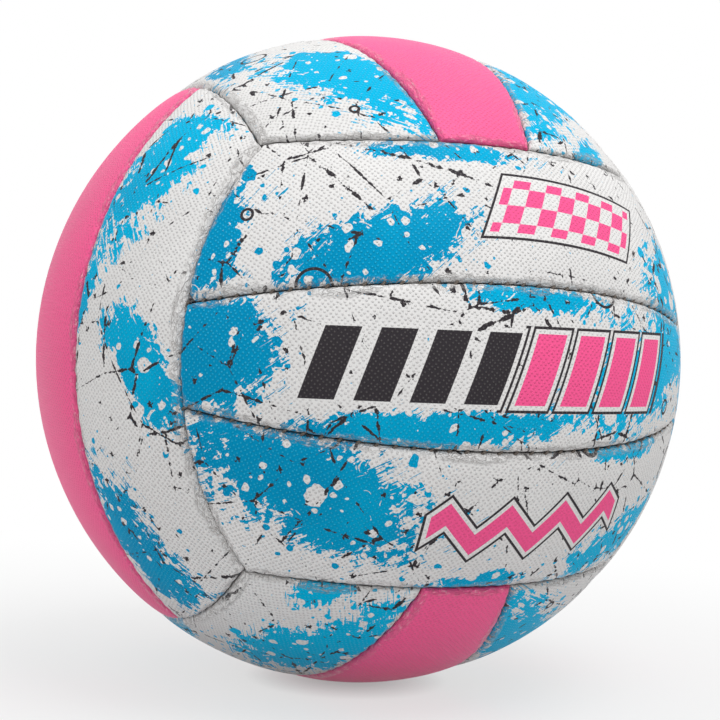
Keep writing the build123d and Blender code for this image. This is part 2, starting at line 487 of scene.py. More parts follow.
class Panel:
    """One die-cut panel in its face's frame.

    The middle strip is part 0, and the side strips are parts 1 and -1.
    """

    def __init__(self, sizes, part):
        self.radius = radius = sizes.circumference / math.tau
        corner = radius / math.sqrt(3)
        middle = math.pi / 4 + sizes.seam_bow / radius
        lean = math.atan2(radius * math.cos(middle) - corner, radius * math.sin(middle) - corner)
        height = corner * (math.cos(lean) - math.sin(lean))
        strip = sizes.strip_width / 2 / radius

        def end(way):
            axis = (-way * math.sin(lean), 0, math.cos(lean))
            return Seam(axis, (way * math.cos(lean), 0, math.sin(lean)), height, 1)

        def long(way, tilt, level, side):
            axis = (0, way * math.cos(tilt), -math.sin(tilt))
            return Seam(axis, (0, way * math.sin(tilt), math.cos(tilt)), level, side)

        if part == 0:
            low, high = long(-1, strip, 0, -1), long(1, strip, 0, -1)
        elif part == 1:
            low, high = long(1, strip, 0, 1), long(1, lean, height, -1)
        else:
            low, high = long(-1, lean, height, -1), long(-1, strip, 0, 1)
        self.low, self.high, self.left, self.right = low, high, end(-1), end(1)
        self.seams = (self.low, self.right, self.high, self.left)
        self.tilt = part * (strip + math.pi / 2 - middle) / 2
        self.length = 2 * radius * math.acos(height / radius)
        self.width = sizes.strip_width
        ring = math.sqrt(radius**2 - height**2)
        self.edge_half = ring * math.asin(corner / ring)

    def patch(self, inset, radius, along, across):
        """Points over the panel on a sphere, in rows across and columns along."""
        ends = (self.left, self.right)
        corners = [[seams_meet(side, end, radius, inset) for end in ends] for side in (self.low, self.high)]
        low = self.low.arc(inset, corners[0][0], corners[0][1], along)
        high = self.high.arc(inset, corners[1][0], corners[1][1], along)
        left = self.left.arc(inset, corners[0][0], corners[1][0], across)
        right = self.right.arc(inset, corners[0][1], corners[1][1], across)
        u, v = along[None, :, None], across[:, None, None]
        ruled = (1 - v) * low + v * high + (1 - u) * left[:, None] + u * right[:, None]
        flat = (1 - v) * ((1 - u) * corners[0][0] + u * corners[0][1])
        flat = flat + v * ((1 - u) * corners[1][0] + u * corners[1][1])
        points = ruled - flat
        return points * (radius / np.linalg.norm(points, axis=2, keepdims=True))

    def sheet(self, outward):
        """Place of each direction on the panel's flat sheet, in millimetres from its middle."""
        y = outward[:, 1] * math.cos(self.tilt) - outward[:, 2] * math.sin(self.tilt)
        z = outward[:, 1] * math.sin(self.tilt) + outward[:, 2] * math.cos(self.tilt)
        scale = self.radius / MM
        along = np.arctan2(outward[:, 0], z) * scale
        return np.column_stack([along, np.arcsin(np.clip(y, -1, 1)) * scale])

    def edge_distance(self, outward, inset):
        """How far each direction lies from the nearest seam."""
        return np.min([seam.distance(outward, self.radius, inset) for seam in self.seams], axis=0)


def face_place(out, along):
    """The turn from a face's own frame to the ball's."""
    x, z = Vector(along), Vector(out)
    return Matrix((x, z.cross(x), z)).transposed().to_4x4()


def row_places(length, edge, step):
    """Places from 0 to 1 along a side: closest over its turned edges, close beside them and then even."""
    turns = edge * (1 - np.cos(np.linspace(0, math.pi / 2, EDGE_ROWS)))
    lead = np.concatenate([turns, edge + BESIDE_STEP * np.arange(1, BESIDE_ROWS + 1)])
    even = np.linspace(lead[-1], length - lead[-1], int((length - 2 * lead[-1]) / step))[1:-1]
    return np.concatenate([lead, even, length - lead[::-1]]) / length


def turn_edges(panel, points, sizes, seed):
    """Bend a panel's surface down into its seams, with puckers at the stitches and creases between."""
    radius, inset = panel.radius, sizes.seam_gap
    outward = points / radius
    shift = np.zeros_like(points)
    depths = np.zeros(len(points))
    creases = np.zeros(len(points))
    for number, seam in enumerate(panel.seams):
        gap = np.maximum(seam.distance(outward, radius, inset), 0)
        along = seam.along(outward, radius)
        line = np.column_stack([along, np.zeros_like(along), np.zeros_like(along)])
        wander = smooth_noise(line / WANDER_LENGTH, seed + number) * STITCH_WANDER
        stitch = 0.5 - 0.5 * np.cos(math.tau * (along + wander) / sizes.stitch_pitch)
        ragged = smooth_noise(line / RAGGED_LENGTH, seed + 10 + number)
        width = sizes.turned_edge * (1 + STITCH_SHARE * (stitch - 0.5) + RAGGED_SHARE * ragged)

        angle = math.acos(seam.side * seam.level(inset) / radius)
        bend = (math.pi - angle) * np.clip(1 - gap / width, 0, 1)
        fillet = width * math.tan(angle / 2)
        moved = np.where(gap < width, width - fillet * np.sin(bend) - gap, 0)
        tangent = seam.side * (seam.axis - outward * (outward @ seam.axis)[:, None])
        shift += moved[:, None] * tangent / np.linalg.norm(tangent, axis=1, keepdims=True)

        dip = fillet * (1 - np.cos(bend)) + sizes.crown * np.exp(-gap / CROWN_REACH)
        swell = SWELL_SHARE * np.exp(-gap / SWELL_REACH)
        dip += sizes.pucker * (stitch**2 * np.exp(-gap / PUCKER_REACH) - swell)
        depths += np.maximum(dip, 0) ** 3

        level = np.full_like(along, number)
        place = np.column_stack([along / FOLD_LENGTH, gap / FOLD_WIDTH, level])
        fold = 1 - 2 * np.abs(smooth_noise(place, seed + 20))
        place = np.column_stack([along / CROSS_LENGTH, gap / CROSS_WIDTH, level])
        cross = smooth_noise(place, seed + 30)
        creases += (FOLD_SHARE * fold + CROSS_SHARE * cross) * np.exp(-gap / CREASE_REACH)
    sway = smooth_noise(points / SWAY_LENGTH, seed + 40) * SWAY_HEIGHT
    height = creases * sizes.wrinkle + sway - np.cbrt(depths)
    return points + shift + height[:, None] * outward


def cover_mesh(name, panel, sizes, seed):
    """A closed mesh of one cover: a tray whose edges turn in as flanges."""
    radius = panel.radius
    along = row_places(panel.length, sizes.turned_edge, ALONG_STEP)
    across = row_places(panel.width, sizes.turned_edge, ACROSS_STEP)
    columns, rows = len(along), len(across)
    smooth = panel.patch(sizes.seam_gap, radius, along, across).reshape(-1, 3)
    shaped = turn_edges(panel, smooth, sizes, seed)

    index = np.arange(rows * columns).reshape(rows, columns)
    ring = np.concatenate([index[0], index[1:, -1], index[-1, -2::-1], index[-2:0:-1, 0]])
    few_along = np.unique(np.linspace(0, columns - 1, columns // INSIDE_ALONG).round().astype(int))
    few_across = np.unique(np.linspace(0, rows - 1, rows // INSIDE_ACROSS).round().astype(int))
    inner = np.arange(len(few_along) * len(few_across)).reshape(len(few_across), len(few_along))
    inner_ring = np.concatenate([inner[0], inner[1:, -1], inner[-1, -2::-1], inner[-2:0:-1, 0]])
    place = {vertex: number for number, vertex in enumerate(ring)}
    landing = [place[v] for v in index[np.ix_(few_across, few_along)].reshape(-1)[inner_ring]]

    def wall(inset, depth):
        return panel.patch(inset, radius - depth, along, across).reshape(-1, 3)[ring]

    def inside(depth):
        inset = sizes.seam_gap + sizes.cover_thickness
        return panel.patch(inset, radius - depth, along[few_along], across[few_across]).reshape(-1, 3)

    blocks = [
        shaped,
        wall(sizes.seam_gap, FLANGE_ROW * sizes.flange_depth),
        wall(sizes.seam_gap, sizes.flange_depth),
        inside(sizes.flange_depth)[inner_ring],
        inside(sizes.cover_thickness),
    ]
    starts = np.cumsum([0] + [len(block) for block in blocks])

    def band(upper, lower):
        return np.stack([upper, lower, np.roll(lower, -1), np.roll(upper, -1)], axis=1).tolist()

    def squares(grid):
        corners = [grid[:-1, :-1], grid[:-1, 1:], grid[1:, 1:], grid[1:, :-1]]
        return np.stack(corners, axis=-1).reshape(-1, 4)

    count = len(ring)
    first, second = starts[1] + np.arange(count), starts[2] + np.arange(count)
    foot = starts[3] + np.arange(len(inner_ring))
    faces = squares(index).tolist() + band(ring, first) + band(first, second)
    for number, here in enumerate(landing):
        after = (number + 1) % len(landing)
        end = landing[after] if after else count
        between = [second[step % count] for step in range(end, here - 1, -1)]
        faces.append([foot[number], foot[after]] + between)
    faces += band(foot, starts[4] + inner_ring) + squares(starts[4] + inner)[:, ::-1].tolist()

    points = np.concatenate(blocks)
    outward = np.concatenate([smooth] + blocks[1:])
    outward = outward / np.linalg.norm(outward, axis=1, keepdims=True)
    mesh = bpy.data.meshes.new(name)
    mesh.from_pydata(points.tolist(), [], faces)
    return mesh, outward


def brush_strokes(sheet, strokes):
    """How deep each place on the sheet lies in the brush strokes: 1 at a stroke's middle, 0 at its edge."""
    paint = np.full(len(sheet), -1.0)
    for x, y, length, width, turn in strokes:
        cosine, sine = math.cos(math.radians(turn)), math.sin(math.radians(turn))
        u = (sheet[:, 0] - x) * cosine + (sheet[:, 1] - y) * sine
        v = (sheet[:, 1] - y) * cosine - (sheet[:, 0] - x) * sine
        paint = np.maximum(paint, 1 - np.hypot(u / length, v / width))
    return paint


def write_sheet(mesh, panel, outward, sizes, design, strokes, lit_way):
    """Store the print's sheet, strokes and painted light and the distance to the seam on a cover's mesh."""
    sheet = panel.sheet(outward)
    seam = np.maximum(panel.edge_distance(outward, sizes.seam_gap), 0) / MM
    corners = np.empty(len(mesh.loops), np.int32)
    mesh.loops.foreach_get("vertex_index", corners)
    layer = mesh.uv_layers.new(name="sheet")
    layer.data.foreach_set("uv", (sheet + (design * SHEET_STEP, 0))[corners].astype(np.float32).ravel())
    # Painted light and shade: the blue pales along the panel in the given way
    painted_light = lit_way * sheet[:, 0] * 2 * MM / panel.length
    layers = {"seam_mm": seam, "paint": brush_strokes(sheet, strokes), "painted_light": painted_light}
    for name, values in layers.items():
        mesh.attributes.new(name, "FLOAT", "POINT").data.foreach_set("value", values.astype(np.float32))


class Wiring:
    """Adds nodes to one tree. Each input may be another node's socket or a plain value."""

    def __init__(self, tree):
        self.tree = tree

    def feed(self, socket, value):
        if isinstance(value, bpy.types.NodeSocket):
            self.tree.links.new(value, socket)
        else:
            socket.default_value = value

    def add(self, kind, inputs=None, **settings):
        node = self.tree.nodes.new(kind)
        for name, value in settings.items():
            setattr(node, name, value)
        for name, value in (inputs or {}).items():
            self.feed(node.inputs[name], value)
        return node

    def maths(self, operation, *values):
        node = self.add("ShaderNodeMath", dict(enumerate(values)), operation=operation)
        return node.outputs[0]

    def vectors(self, operation, *values, out="Vector"):
        node = self.add("ShaderNodeVectorMath", dict(enumerate(values)), operation=operation)
        return node.outputs[out]

    def noise(self, place, scale, detail=2.0, roughness=0.5, distortion=0.0, flat=True, out="Fac"):
        inputs = {"Vector": place, "Scale": scale, "Detail": detail}
        inputs.update({"Roughness": roughness, "Distortion": distortion})
        node = self.add("ShaderNodeTexNoise", inputs, noise_dimensions="2D" if flat else "3D")
        return node.outputs[out]

    def cells(self, place, scale, feature="F1", scatter=1.0):
        inputs = {"Vector": place, "Scale": scale, "Randomness": scatter}
        node = self.add("ShaderNodeTexVoronoi", inputs, voronoi_dimensions="2D", feature=feature)
        return node.outputs

    def channels(self, colour):
        """Red, green and blue of a colour as values."""
        return self.add("ShaderNodeSeparateColor", {0: colour}).outputs

    def ramp(self, value, start, end, low=0.0, high=1.0):
        """Smooth step of a value: low up to start and high from end on."""
        inputs = {"Value": value, "From Min": start, "From Max": end, "To Min": low, "To Max": high}
        return self.add("ShaderNodeMapRange", inputs, interpolation_type="SMOOTHSTEP").outputs["Result"]

    def mix(self, amount, first, second, blend="MIX"):
        inputs = {0: amount, 6: first, 7: second}
        node = self.add("ShaderNodeMix", inputs, data_type="RGBA", blend_type=blend)
        return node.outputs[2]

    def stretched(self, place, turn, along, across):
        """Coordinates turned in the sheet and divided by a length along and a length across."""
        node = self.add("ShaderNodeMapping", {"Vector": place}, vector_type="TEXTURE")
        node.inputs["Rotation"].default_value = (0, 0, math.radians(turn))
        node.inputs["Scale"].default_value = (along, across, 1)
        return node.outputs["Vector"]


def new_group(name, inputs, outputs):
    """A shader node group with named float or vector sockets."""
    tree = bpy.data.node_groups.new(name, "ShaderNodeTree")
    for label, kind, value in inputs:
        socket = tree.interface.new_socket(label, in_out="INPUT", socket_type=kind)
        if value is not None:
            socket.default_value = value
    for label in outputs:
        tree.interface.new_socket(label, in_out="OUTPUT", socket_type="NodeSocketFloat")
    given = tree.nodes.new("NodeGroupInput").outputs
    result = tree.nodes.new("NodeGroupOutput").inputs
    return tree, Wiring(tree), given, result


def pimple_group():
    """Grip of small pimples in an uneven lattice: the distance to the nearest one, and the pimples."""
    if "Pimple grip" in bpy.data.node_groups:
        return bpy.data.node_groups["Pimple grip"]
    inputs = [("Sheet", "NodeSocketVector", None), ("Pitch", "NodeSocketFloat", 1.3)]
    tree, wire, given, result = new_group("Pimple grip", inputs, ["Reach", "Pimples"])
    turned = wire.stretched(given["Sheet"], 42, 1, 1)
    reach = wire.cells(wire.vectors("DIVIDE", turned, given["Pitch"]), 1.0, scatter=0.3)["Distance"]
    wire.feed(result["Reach"], reach)
    wire.feed(result["Pimples"], wire.ramp(reach, 0.35, 0.1))
    return tree


def edge_group():
    """Turned edge beside a seam: its place, its fine creases, its rubbed flecks and the groove that painted
    shade and grime darken.
    """
    if "Turned edge" in bpy.data.node_groups:
        return bpy.data.node_groups["Turned edge"]
    inputs = [("Sheet", "NodeSocketVector", None)]
    tree, wire, given, result = new_group("Turned edge", inputs, ["Edge", "Creases", "Flecks", "Groove"])
    seam = wire.add("ShaderNodeAttribute", attribute_name="seam_mm").outputs["Fac"]
    wobble = wire.noise(given["Sheet"], 0.35, 2.0)
    near = wire.maths("ADD", seam, wire.maths("MULTIPLY_ADD", wobble, 2.2, -1.1))
    stretch = wire.noise(given["Sheet"], 0.045, 1.0)
    near = wire.maths("ADD", near, wire.maths("MULTIPLY_ADD", stretch, 5.0, -2.5))
    wire.feed(result["Edge"], wire.ramp(near, 2.7, 1.5))

    def beside(along, across):
        """Coordinates over the sheet that rise with the distance from the seam."""
        rise = wire.add("ShaderNodeCombineXYZ", {"Z": wire.maths("MULTIPLY", seam, across)}).outputs[0]
        return wire.vectors("MULTIPLY_ADD", given["Sheet"], (along, along, 0), rise)

    ridges = []
    for along, across in ((0.3, 0.8), (0.75, 1.7)):
        fine = wire.noise(beside(along, across), 1.0, 2.0, 0.6, 0.6, flat=False)
        fold = wire.maths("ABSOLUTE", wire.maths("MULTIPLY_ADD", fine, 2.0, -1.0))
        ridges.append(wire.ramp(fold, 0.0, 0.1))
    finer = wire.maths("MULTIPLY_ADD", ridges[1], 0.6, 0.4)
    wire.feed(result["Creases"], wire.maths("MULTIPLY", ridges[0], finer))
    rubbed = wire.noise(beside(0.45, 1.6), 1.0, 3.0, 0.65, 0.4, flat=False)
    wire.feed(result["Flecks"], wire.ramp(rubbed, 0.55, 0.62))
    wire.feed(result["Groove"], wire.ramp(seam, 0.45, 0.05))
    return tree


def mottle_group():
    """Soft uneven bloom on bare rubber and thread."""
    if "Rubber bloom" in bpy.data.node_groups:
        return bpy.data.node_groups["Rubber bloom"]
    inputs = [("Place", "NodeSocketVector", None), ("Scale", "NodeSocketFloat", 120.0)]
    tree, wire, given, result = new_group("Rubber bloom", inputs, ["Bloom", "Grain"])
    wire.feed(result["Bloom"], wire.ramp(wire.noise(given["Place"], given["Scale"], 4.0, 0.6), 0.3, 0.7))
    finer = wire.maths("MULTIPLY", given["Scale"], 14.0)
    wire.feed(result["Grain"], wire.noise(given["Place"], finer, 2.0))
    return tree


def new_material(name):
    """A material with one Principled shader, ready to be wired."""
    material = bpy.data.materials.new(name)
    material.use_nodes = True
    return material, Wiring(material.node_tree), material.node_tree.nodes["Principled BSDF"].inputs


def brush_mask(wire, sheet, reach):
    """Splashed paint: lobed edges that follow the pimples, dry streaks, and drops of paint and ground."""
    paint = wire.add("ShaderNodeAttribute", attribute_name="paint").outputs["Fac"]
    broad = wire.noise(sheet, 0.06, 2.0, 0.5, 0.7)
    depth = wire.maths("MULTIPLY_ADD", broad, 1.5, wire.maths("SUBTRACT", paint, 0.84))
    lobes = wire.noise(sheet, 0.3, 3.0, 0.62, 0.6)
    depth = wire.maths("MULTIPLY_ADD", lobes, 1.1, wire.maths("SUBTRACT", depth, 0.55))
    feathers = wire.noise(wire.stretched(sheet, 35, 9.0, 1.5), 1.0, 3.0, 0.6, 0.4)
    depth = wire.maths("MULTIPLY_ADD", feathers, 1.0, wire.maths("SUBTRACT", depth, 0.5))
    depth = wire.maths("MULTIPLY_ADD", reach, -0.2, wire.maths("ADD", depth, 0.08))
    body = wire.ramp(depth, -0.015, 0.015)

    hairs = wire.noise(wire.stretched(sheet, 38, 14.0, 0.7), 1.0, 2.0, 0.6)
    dry = wire.maths("MULTIPLY_ADD", wire.noise(sheet, 0.045, 1.0), 1.6, wire.maths("MULTIPLY", paint, 0.3))
    hairs = wire.maths("MULTIPLY_ADD", dry, 0.3, hairs)
    body = wire.maths("MAXIMUM", body, wire.ramp(hairs, 0.94, 0.97))

    streaks = wire.noise(wire.stretched(sheet, 33, 7.0, 1.0), 1.0, 2.0, 0.6, 0.5)
    streaks = wire.maths("MULTIPLY_ADD", paint, -0.4, streaks)
    body = wire.maths("MINIMUM", body, wire.ramp(streaks, 0.66, 0.62))
    patches = wire.noise(sheet, 0.13, 3.0, 0.6, 1.6)
    patches = wire.maths("MULTIPLY_ADD", reach, -0.05, wire.maths("MULTIPLY_ADD", paint, -0.2, patches))
    body = wire.maths("MINIMUM", body, wire.ramp(patches, 0.615, 0.6))

    wobble = wire.noise(sheet, 0.5, 1.0, out="Color")
    place = wire.vectors("MULTIPLY_ADD", wobble, (1.0, 1.0, 0), sheet)
    wobble = wire.noise(sheet, 0.15, 2.0, out="Color")
    place = wire.vectors("MULTIPLY_ADD", wobble, (2.0, 2.0, 0), place)
    near = wire.ramp(paint, -0.8, 0.1, 0.12, 1.0)
    for scale, largest in ((0.075, 3.6), (0.23, 1.7)):
        spot = wire.cells(place, scale)
        out = wire.maths("DIVIDE", spot["Distance"], scale)
        chance = wire.channels(spot["Color"])
        size = wire.maths("MULTIPLY", wire.maths("POWER", chance[0], 2.5), largest)
        wet = wire.maths("GREATER_THAN", chance[1], 0.5)
        drop = wire.maths("MULTIPLY", size, wire.maths("MULTIPLY", near, wet))
        bare = wire.maths("MULTIPLY", size, wire.maths("SUBTRACT", 1.0, wet))
        painted = wire.ramp(wire.maths("SUBTRACT", out, drop), INK_EDGE, -INK_EDGE)
        spared = wire.ramp(wire.maths("SUBTRACT", out, bare), -INK_EDGE, INK_EDGE)
        body = wire.maths("MINIMUM", wire.maths("MAXIMUM", body, painted), spared)
    return body


def scratch_mask(wire, sheet):
    """Thin, straight, broken scratches that cross each other, and small flecks."""
    broken = wire.noise(sheet, 0.24, 3.0, 0.65)
    patch = wire.noise(sheet, 0.028, 1.0)
    gate = wire.maths("MULTIPLY_ADD", patch, 0.4, broken)
    masks = []
    for scale, turn, shift in ((0.021, 75, 0), (0.036, 20, 31), (0.055, 130, 57)):
        place = wire.stretched(wire.vectors("ADD", sheet, (0, shift, 0)), turn, 1.8, 1)
        lines = wire.maths("DIVIDE", wire.cells(place, scale, "DISTANCE_TO_EDGE")["Distance"], scale)
        width = wire.ramp(gate, 0.6, 0.95, -0.16, 0.5)
        masks.append(wire.ramp(wire.maths("SUBTRACT", lines, width), 0.07, -0.07))
    fleck = wire.cells(sheet, 0.16)
    blot = wire.maths("MULTIPLY_ADD", wire.noise(sheet, 1.0, 2.0), 0.5, fleck["Distance"])
    chance = wire.ramp(wire.channels(fleck["Color"])[2], 0.55, 1.0, 0.1, 0.38)
    masks.append(wire.ramp(wire.maths("SUBTRACT", blot, chance), 0.012, -0.012))
    joined = masks[0]
    for mask in masks[1:]:
        joined = wire.maths("MAXIMUM", joined, mask)
    return joined


def motif_shapes(wire, sheet):
    """How far each place is outside the pink motifs, the charcoal motifs and the loops, in millimetres."""
    split = wire.add("ShaderNodeSeparateXYZ", {0: sheet}).outputs
    u, v = split[0], split[1]

    def box(x, y, width, height):
        over = wire.maths("SUBTRACT", wire.maths("ABSOLUTE", x), width / 2)
        return wire.maths("MAXIMUM", over, wire.maths("SUBTRACT", wire.maths("ABSOLUTE", y), height / 2))

    slanted = wire.maths("MULTIPLY_ADD", v, -BAR_SLANT, u)
    cell = wire.maths("SUBTRACT", wire.maths("WRAP", slanted, BAR_PITCH, 0.0), BAR_PITCH / 2)
    bar = box(cell, v, BAR_WIDTH, BAR_HEIGHT)
    half = BAR_COUNT / 4 * BAR_PITCH
    dark = wire.maths("MAXIMUM", bar, box(wire.maths("ADD", slanted, half), v, 2 * half, BAR_HEIGHT))
    pink = wire.maths("MAXIMUM", bar, box(wire.maths("SUBTRACT", slanted, half), v, 2 * half, BAR_HEIGHT))

    y = wire.maths("SUBTRACT", v, CHECKS_PLACE[1])
    x = wire.maths("MULTIPLY_ADD", y, -CHECK_SLANT, wire.maths("SUBTRACT", u, CHECKS_PLACE[0]))

    def wave(value):
        shifted = wire.maths("ADD", value, CHECK_SIZE / 2)
        return wire.maths("SUBTRACT", wire.maths("PINGPONG", shifted, CHECK_SIZE), CHECK_SIZE / 2)

    squares = wire.maths("MULTIPLY", wave(x), wave(y))
    squares = wire.maths("MINIMUM", wire.maths("DIVIDE", squares, CHECK_SIZE / 4), 1.0)
    around = box(x, y, CHECK_COUNT[0] * CHECK_SIZE, CHECK_COUNT[1] * CHECK_SIZE)
    pink = wire.maths("MINIMUM", pink, wire.maths("MAXIMUM", around, squares))

    x = wire.maths("SUBTRACT", u, ZIGZAG_PLACE[0])
    swing = wire.maths("SUBTRACT", wire.maths("PINGPONG", x, ZIGZAG_PITCH / 2), ZIGZAG_PITCH / 4)
    y = wire.maths("SUBTRACT", wire.maths("SUBTRACT", v, ZIGZAG_PLACE[1]), swing)
    zigzag = box(x, wire.maths("MULTIPLY", y, ZIGZAG_SLOPE), ZIGZAG_LENGTH, ZIGZAG_WIDTH)
    pink = wire.maths("MINIMUM", pink, zigzag)

    spot = wire.cells(sheet, LOOP_SPREAD, scatter=0.8)
    out = wire.maths("DIVIDE", spot["Distance"], LOOP_SPREAD)
    size = wire.ramp(wire.channels(spot["Color"])[0], 0.35, 0.9, 0.0, LOOP_LARGEST)
    loop = wire.maths("SUBTRACT", wire.maths("ABSOLUTE", wire.maths("SUBTRACT", out, size)), LOOP_LINE)
    loop = wire.maths("MAXIMUM", loop, wire.maths("SUBTRACT", LOOP_LEAST, size))
    return pink, dark, loop


def cover_material(name, colour, worn_colour, fleck_colour, finish, printed, gloss, pimple_shading, valley_darkening):
    """Pimpled rubber with turned edges, plain or printed."""
    material, wire, shader = new_material(name)
    sheet = wire.add("ShaderNodeUVMap", uv_map="sheet").outputs["UV"]
    grip = wire.add("ShaderNodeGroup", node_tree=pimple_group())
    wire.feed(grip.inputs["Sheet"], sheet)
    grip.inputs["Pitch"].default_value = finish.pimple_pitch
    edge = wire.add("ShaderNodeGroup", node_tree=edge_group())
    wire.feed(edge.inputs["Sheet"], sheet)
    turned = edge.outputs["Edge"]
    pimples = wire.maths("MULTIPLY", grip.outputs["Pimples"], wire.maths("SUBTRACT", 1.0, turned))

    tone = wire.ramp(wire.noise(sheet, 0.03, 3.0), 0.3, 0.7)
    shaded = tuple(0.95 * value for value in colour[:3]) + (1,)
    face = wire.mix(tone, shaded, tuple(colour))
    # Painted shade: the ground darkens round each pimple, standing in for the shade of the bumps
    face = wire.mix(wire.maths("MULTIPLY", pimples, pimple_shading), face, PIMPLE_SHADE, "MULTIPLY")
    if printed:
        pink = tuple(finish.pink)
        # Charcoal print, with a painted highlight on top of each pimple
        charcoal = wire.mix(pimples, tuple(finish.charcoal), tuple(finish.pimple_highlight_charcoal))
        # Painted light and shade along the panel, from shaded deep blue to lit pale blue, with noise for
        # random tone
        painted_light = wire.add("ShaderNodeAttribute", attribute_name="painted_light").outputs["Fac"]
        painted_light = wire.maths("MULTIPLY_ADD", wire.noise(sheet, 0.03, 3.0), 1.6, painted_light)
        ink = wire.mix(wire.ramp(painted_light, 0.0, 1.4), tuple(finish.shaded_blue), tuple(finish.blue))
        # Painted highlight: the blue pales on top of each pimple
        ink = wire.mix(wire.maths("MULTIPLY", pimples, PIMPLE_HIGHLIGHT_SHARE), ink, tuple(finish.pimple_highlight_blue))
        face = wire.mix(brush_mask(wire, sheet, grip.outputs["Reach"]), face, ink)
        face = wire.mix(scratch_mask(wire, sheet), face, charcoal)
        pink_shape, dark_shape, loop = motif_shapes(wire, sheet)
        both = wire.maths("MINIMUM", pink_shape, dark_shape)
        face = wire.mix(wire.ramp(loop, INK_EDGE, -INK_EDGE), face, charcoal)
        face = wire.mix(wire.ramp(pink_shape, OUTLINE, OUTLINE - MARGIN_EDGE), face, charcoal)
        face = wire.mix(wire.ramp(both, MARGIN, MARGIN - MARGIN_EDGE), face, tuple(finish.white))
        face = wire.mix(wire.ramp(pink_shape, INK_EDGE, -INK_EDGE), face, pink)
        face = wire.mix(wire.ramp(dark_shape, INK_EDGE, -INK_EDGE), face, charcoal)
    folds = wire.maths("SUBTRACT", 1.0, edge.outputs["Creases"])
    worn = wire.maths("MULTIPLY", wire.maths("MULTIPLY", turned, folds), WORN_SHARE)
    rubbed = wire.maths("MULTIPLY", wire.maths("MULTIPLY", turned, edge.outputs["Flecks"]), RUBBED_SHARE)
    face = wire.mix(rubbed, face, tuple(fleck_colour))
    face = wire.mix(worn, face, tuple(worn_colour))
    # Darker along the valleys of the creases on a turned edge
    crease_valleys = wire.maths("MULTIPLY", turned, wire.ramp(edge.outputs["Creases"], 0.3, 0.0))
    face = wire.mix(wire.maths("MULTIPLY", crease_valleys, valley_darkening), face, CREASE_VALLEY_DARK, "MULTIPLY")
    # Painted shade round the pimples again, over the print as well
    face = wire.mix(wire.maths("MULTIPLY", pimples, PIMPLE_SHADE_SHARE), face, PIMPLE_SHADE, "MULTIPLY")
    # Painted shade with grime: darker within half a millimetre of the seam, in its groove
    groove = wire.maths("MULTIPLY", edge.outputs["Groove"], GROOVE_SHARE)
    face = wire.mix(groove, face, GROOVE_SHADE, "MULTIPLY")
    wire.feed(shader["Base Color"], face)

    rough = wire.maths("MULTIPLY_ADD", turned, -0.1, wire.maths("MULTIPLY_ADD", tone, 0.06, 0.46))
    wire.feed(shader["Roughness"], rough)
    shader["Specular IOR Level"].default_value = gloss
    coat = wire.maths("MULTIPLY_ADD", pimples, 0.25, wire.maths("MULTIPLY", turned, 0.3))
    wire.feed(shader["Coat Weight"], coat)
    shader["Coat Roughness"].default_value = COAT_ROUGHNESS
    crinkle = wire.maths("MULTIPLY", turned, edge.outputs["Creases"])
    height = wire.maths("MULTIPLY_ADD", crinkle, CREASE_HEIGHT, pimples)
    bump = wire.add("ShaderNodeBump", {"Height": height, "Strength": 1.0, "Distance": PIMPLE_HEIGHT})
    wire.feed(shader["Normal"], bump.outputs["Normal"])
    return material


class NETBALL_OT_covers(bpy.types.Operator):
    """Make the eighteen panel covers, with their turned and puckered edges and their print"""

    bl_idname = "netball.covers"
    bl_label = "Panel covers"

    def execute(self, context):
        sizes, finish = context.scene.netball_sizes, context.scene.netball_finish
        colours = (finish.white, finish.worn_print, finish.white)
        white = cover_material(
            "Printed cover", *colours, finish, printed=True, gloss=0.03, pimple_shading=0.17, valley_darkening=0.45
        )
        colours = (finish.pink, finish.worn_pink, finish.rubbed_pink)
        pink = cover_material(
            "Pink cover", *colours, finish, printed=False, gloss=0.22, pimple_shading=0.1, valley_darkening=0.12
        )
        seed = SEED_STEP
        for face, (out, along, upper, lower) in FACES.items():
            place = face_place(out, along)
            group = PRINT_OF[face]
            for part, side in ((1, upper), (0, "middle"), (-1, lower)):
                seed += SEED_STEP
                panel = Panel(sizes, part)
                name = f"cover_{face}_{side}"
                mesh, outward = cover_mesh(name, panel, sizes, seed)
                cover = bpy.data.objects.new(name, mesh)
                context.scene.collection.objects.link(cover)
                if part == 0 and face == VALVE_FACE:
                    cut_port(cover, panel.radius, sizes.valve_port)
                    points = np.empty(len(mesh.vertices) * 3)
                    mesh.vertices.foreach_get("co", points)
                    points = points.reshape(-1, 3)
                    outward = points / np.linalg.norm(points, axis=1, keepdims=True)
                is_pink = part == 0 and face in PINK_FACES
                design, strokes = (PINK_DESIGN, []) if is_pink else DESIGNS[group, part]
                write_sheet(mesh, panel, outward, sizes, design, strokes, PAINTED_LIGHT_WAY[group])
                mesh.transform(place)
                mesh.shade_smooth()
                mesh.materials.append(pink if is_pink else white)
                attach(cover, "ball")
                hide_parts(f"panel_{face}_{side}")
        return {"FINISHED"}


def cut_port(cover, radius, port):
    """Cut the valve's round hole through the middle of a cover, which looks along +z."""
    drill = bpy.data.meshes.new("port_drill")
    shape = bmesh.new()
    bmesh.ops.create_cone(
        shape, cap_ends=True, segments=DRILL_SIDES, radius1=port, radius2=port, depth=DRILL_LENGTH
    )
    bmesh.ops.translate(shape, verts=shape.verts, vec=(0, 0, radius))
    shape.to_mesh(drill)
    shape.free()
    tool = bpy.data.objects.new("port_drill", drill)
    bpy.context.scene.collection.objects.link(tool)
    cut = cover.modifiers.new("Port", "BOOLEAN")
    cut.object, cut.operation, cut.solver = tool, "DIFFERENCE", "EXACT"
    graph = bpy.context.evaluated_depsgraph_get()
    shape = bmesh.new()
    shape.from_object(cover, graph)
    cover.modifiers.remove(cut)
    shape.to_mesh(cover.data)
    shape.free()
    bpy.data.objects.remove(tool)
    bpy.data.meshes.remove(drill)


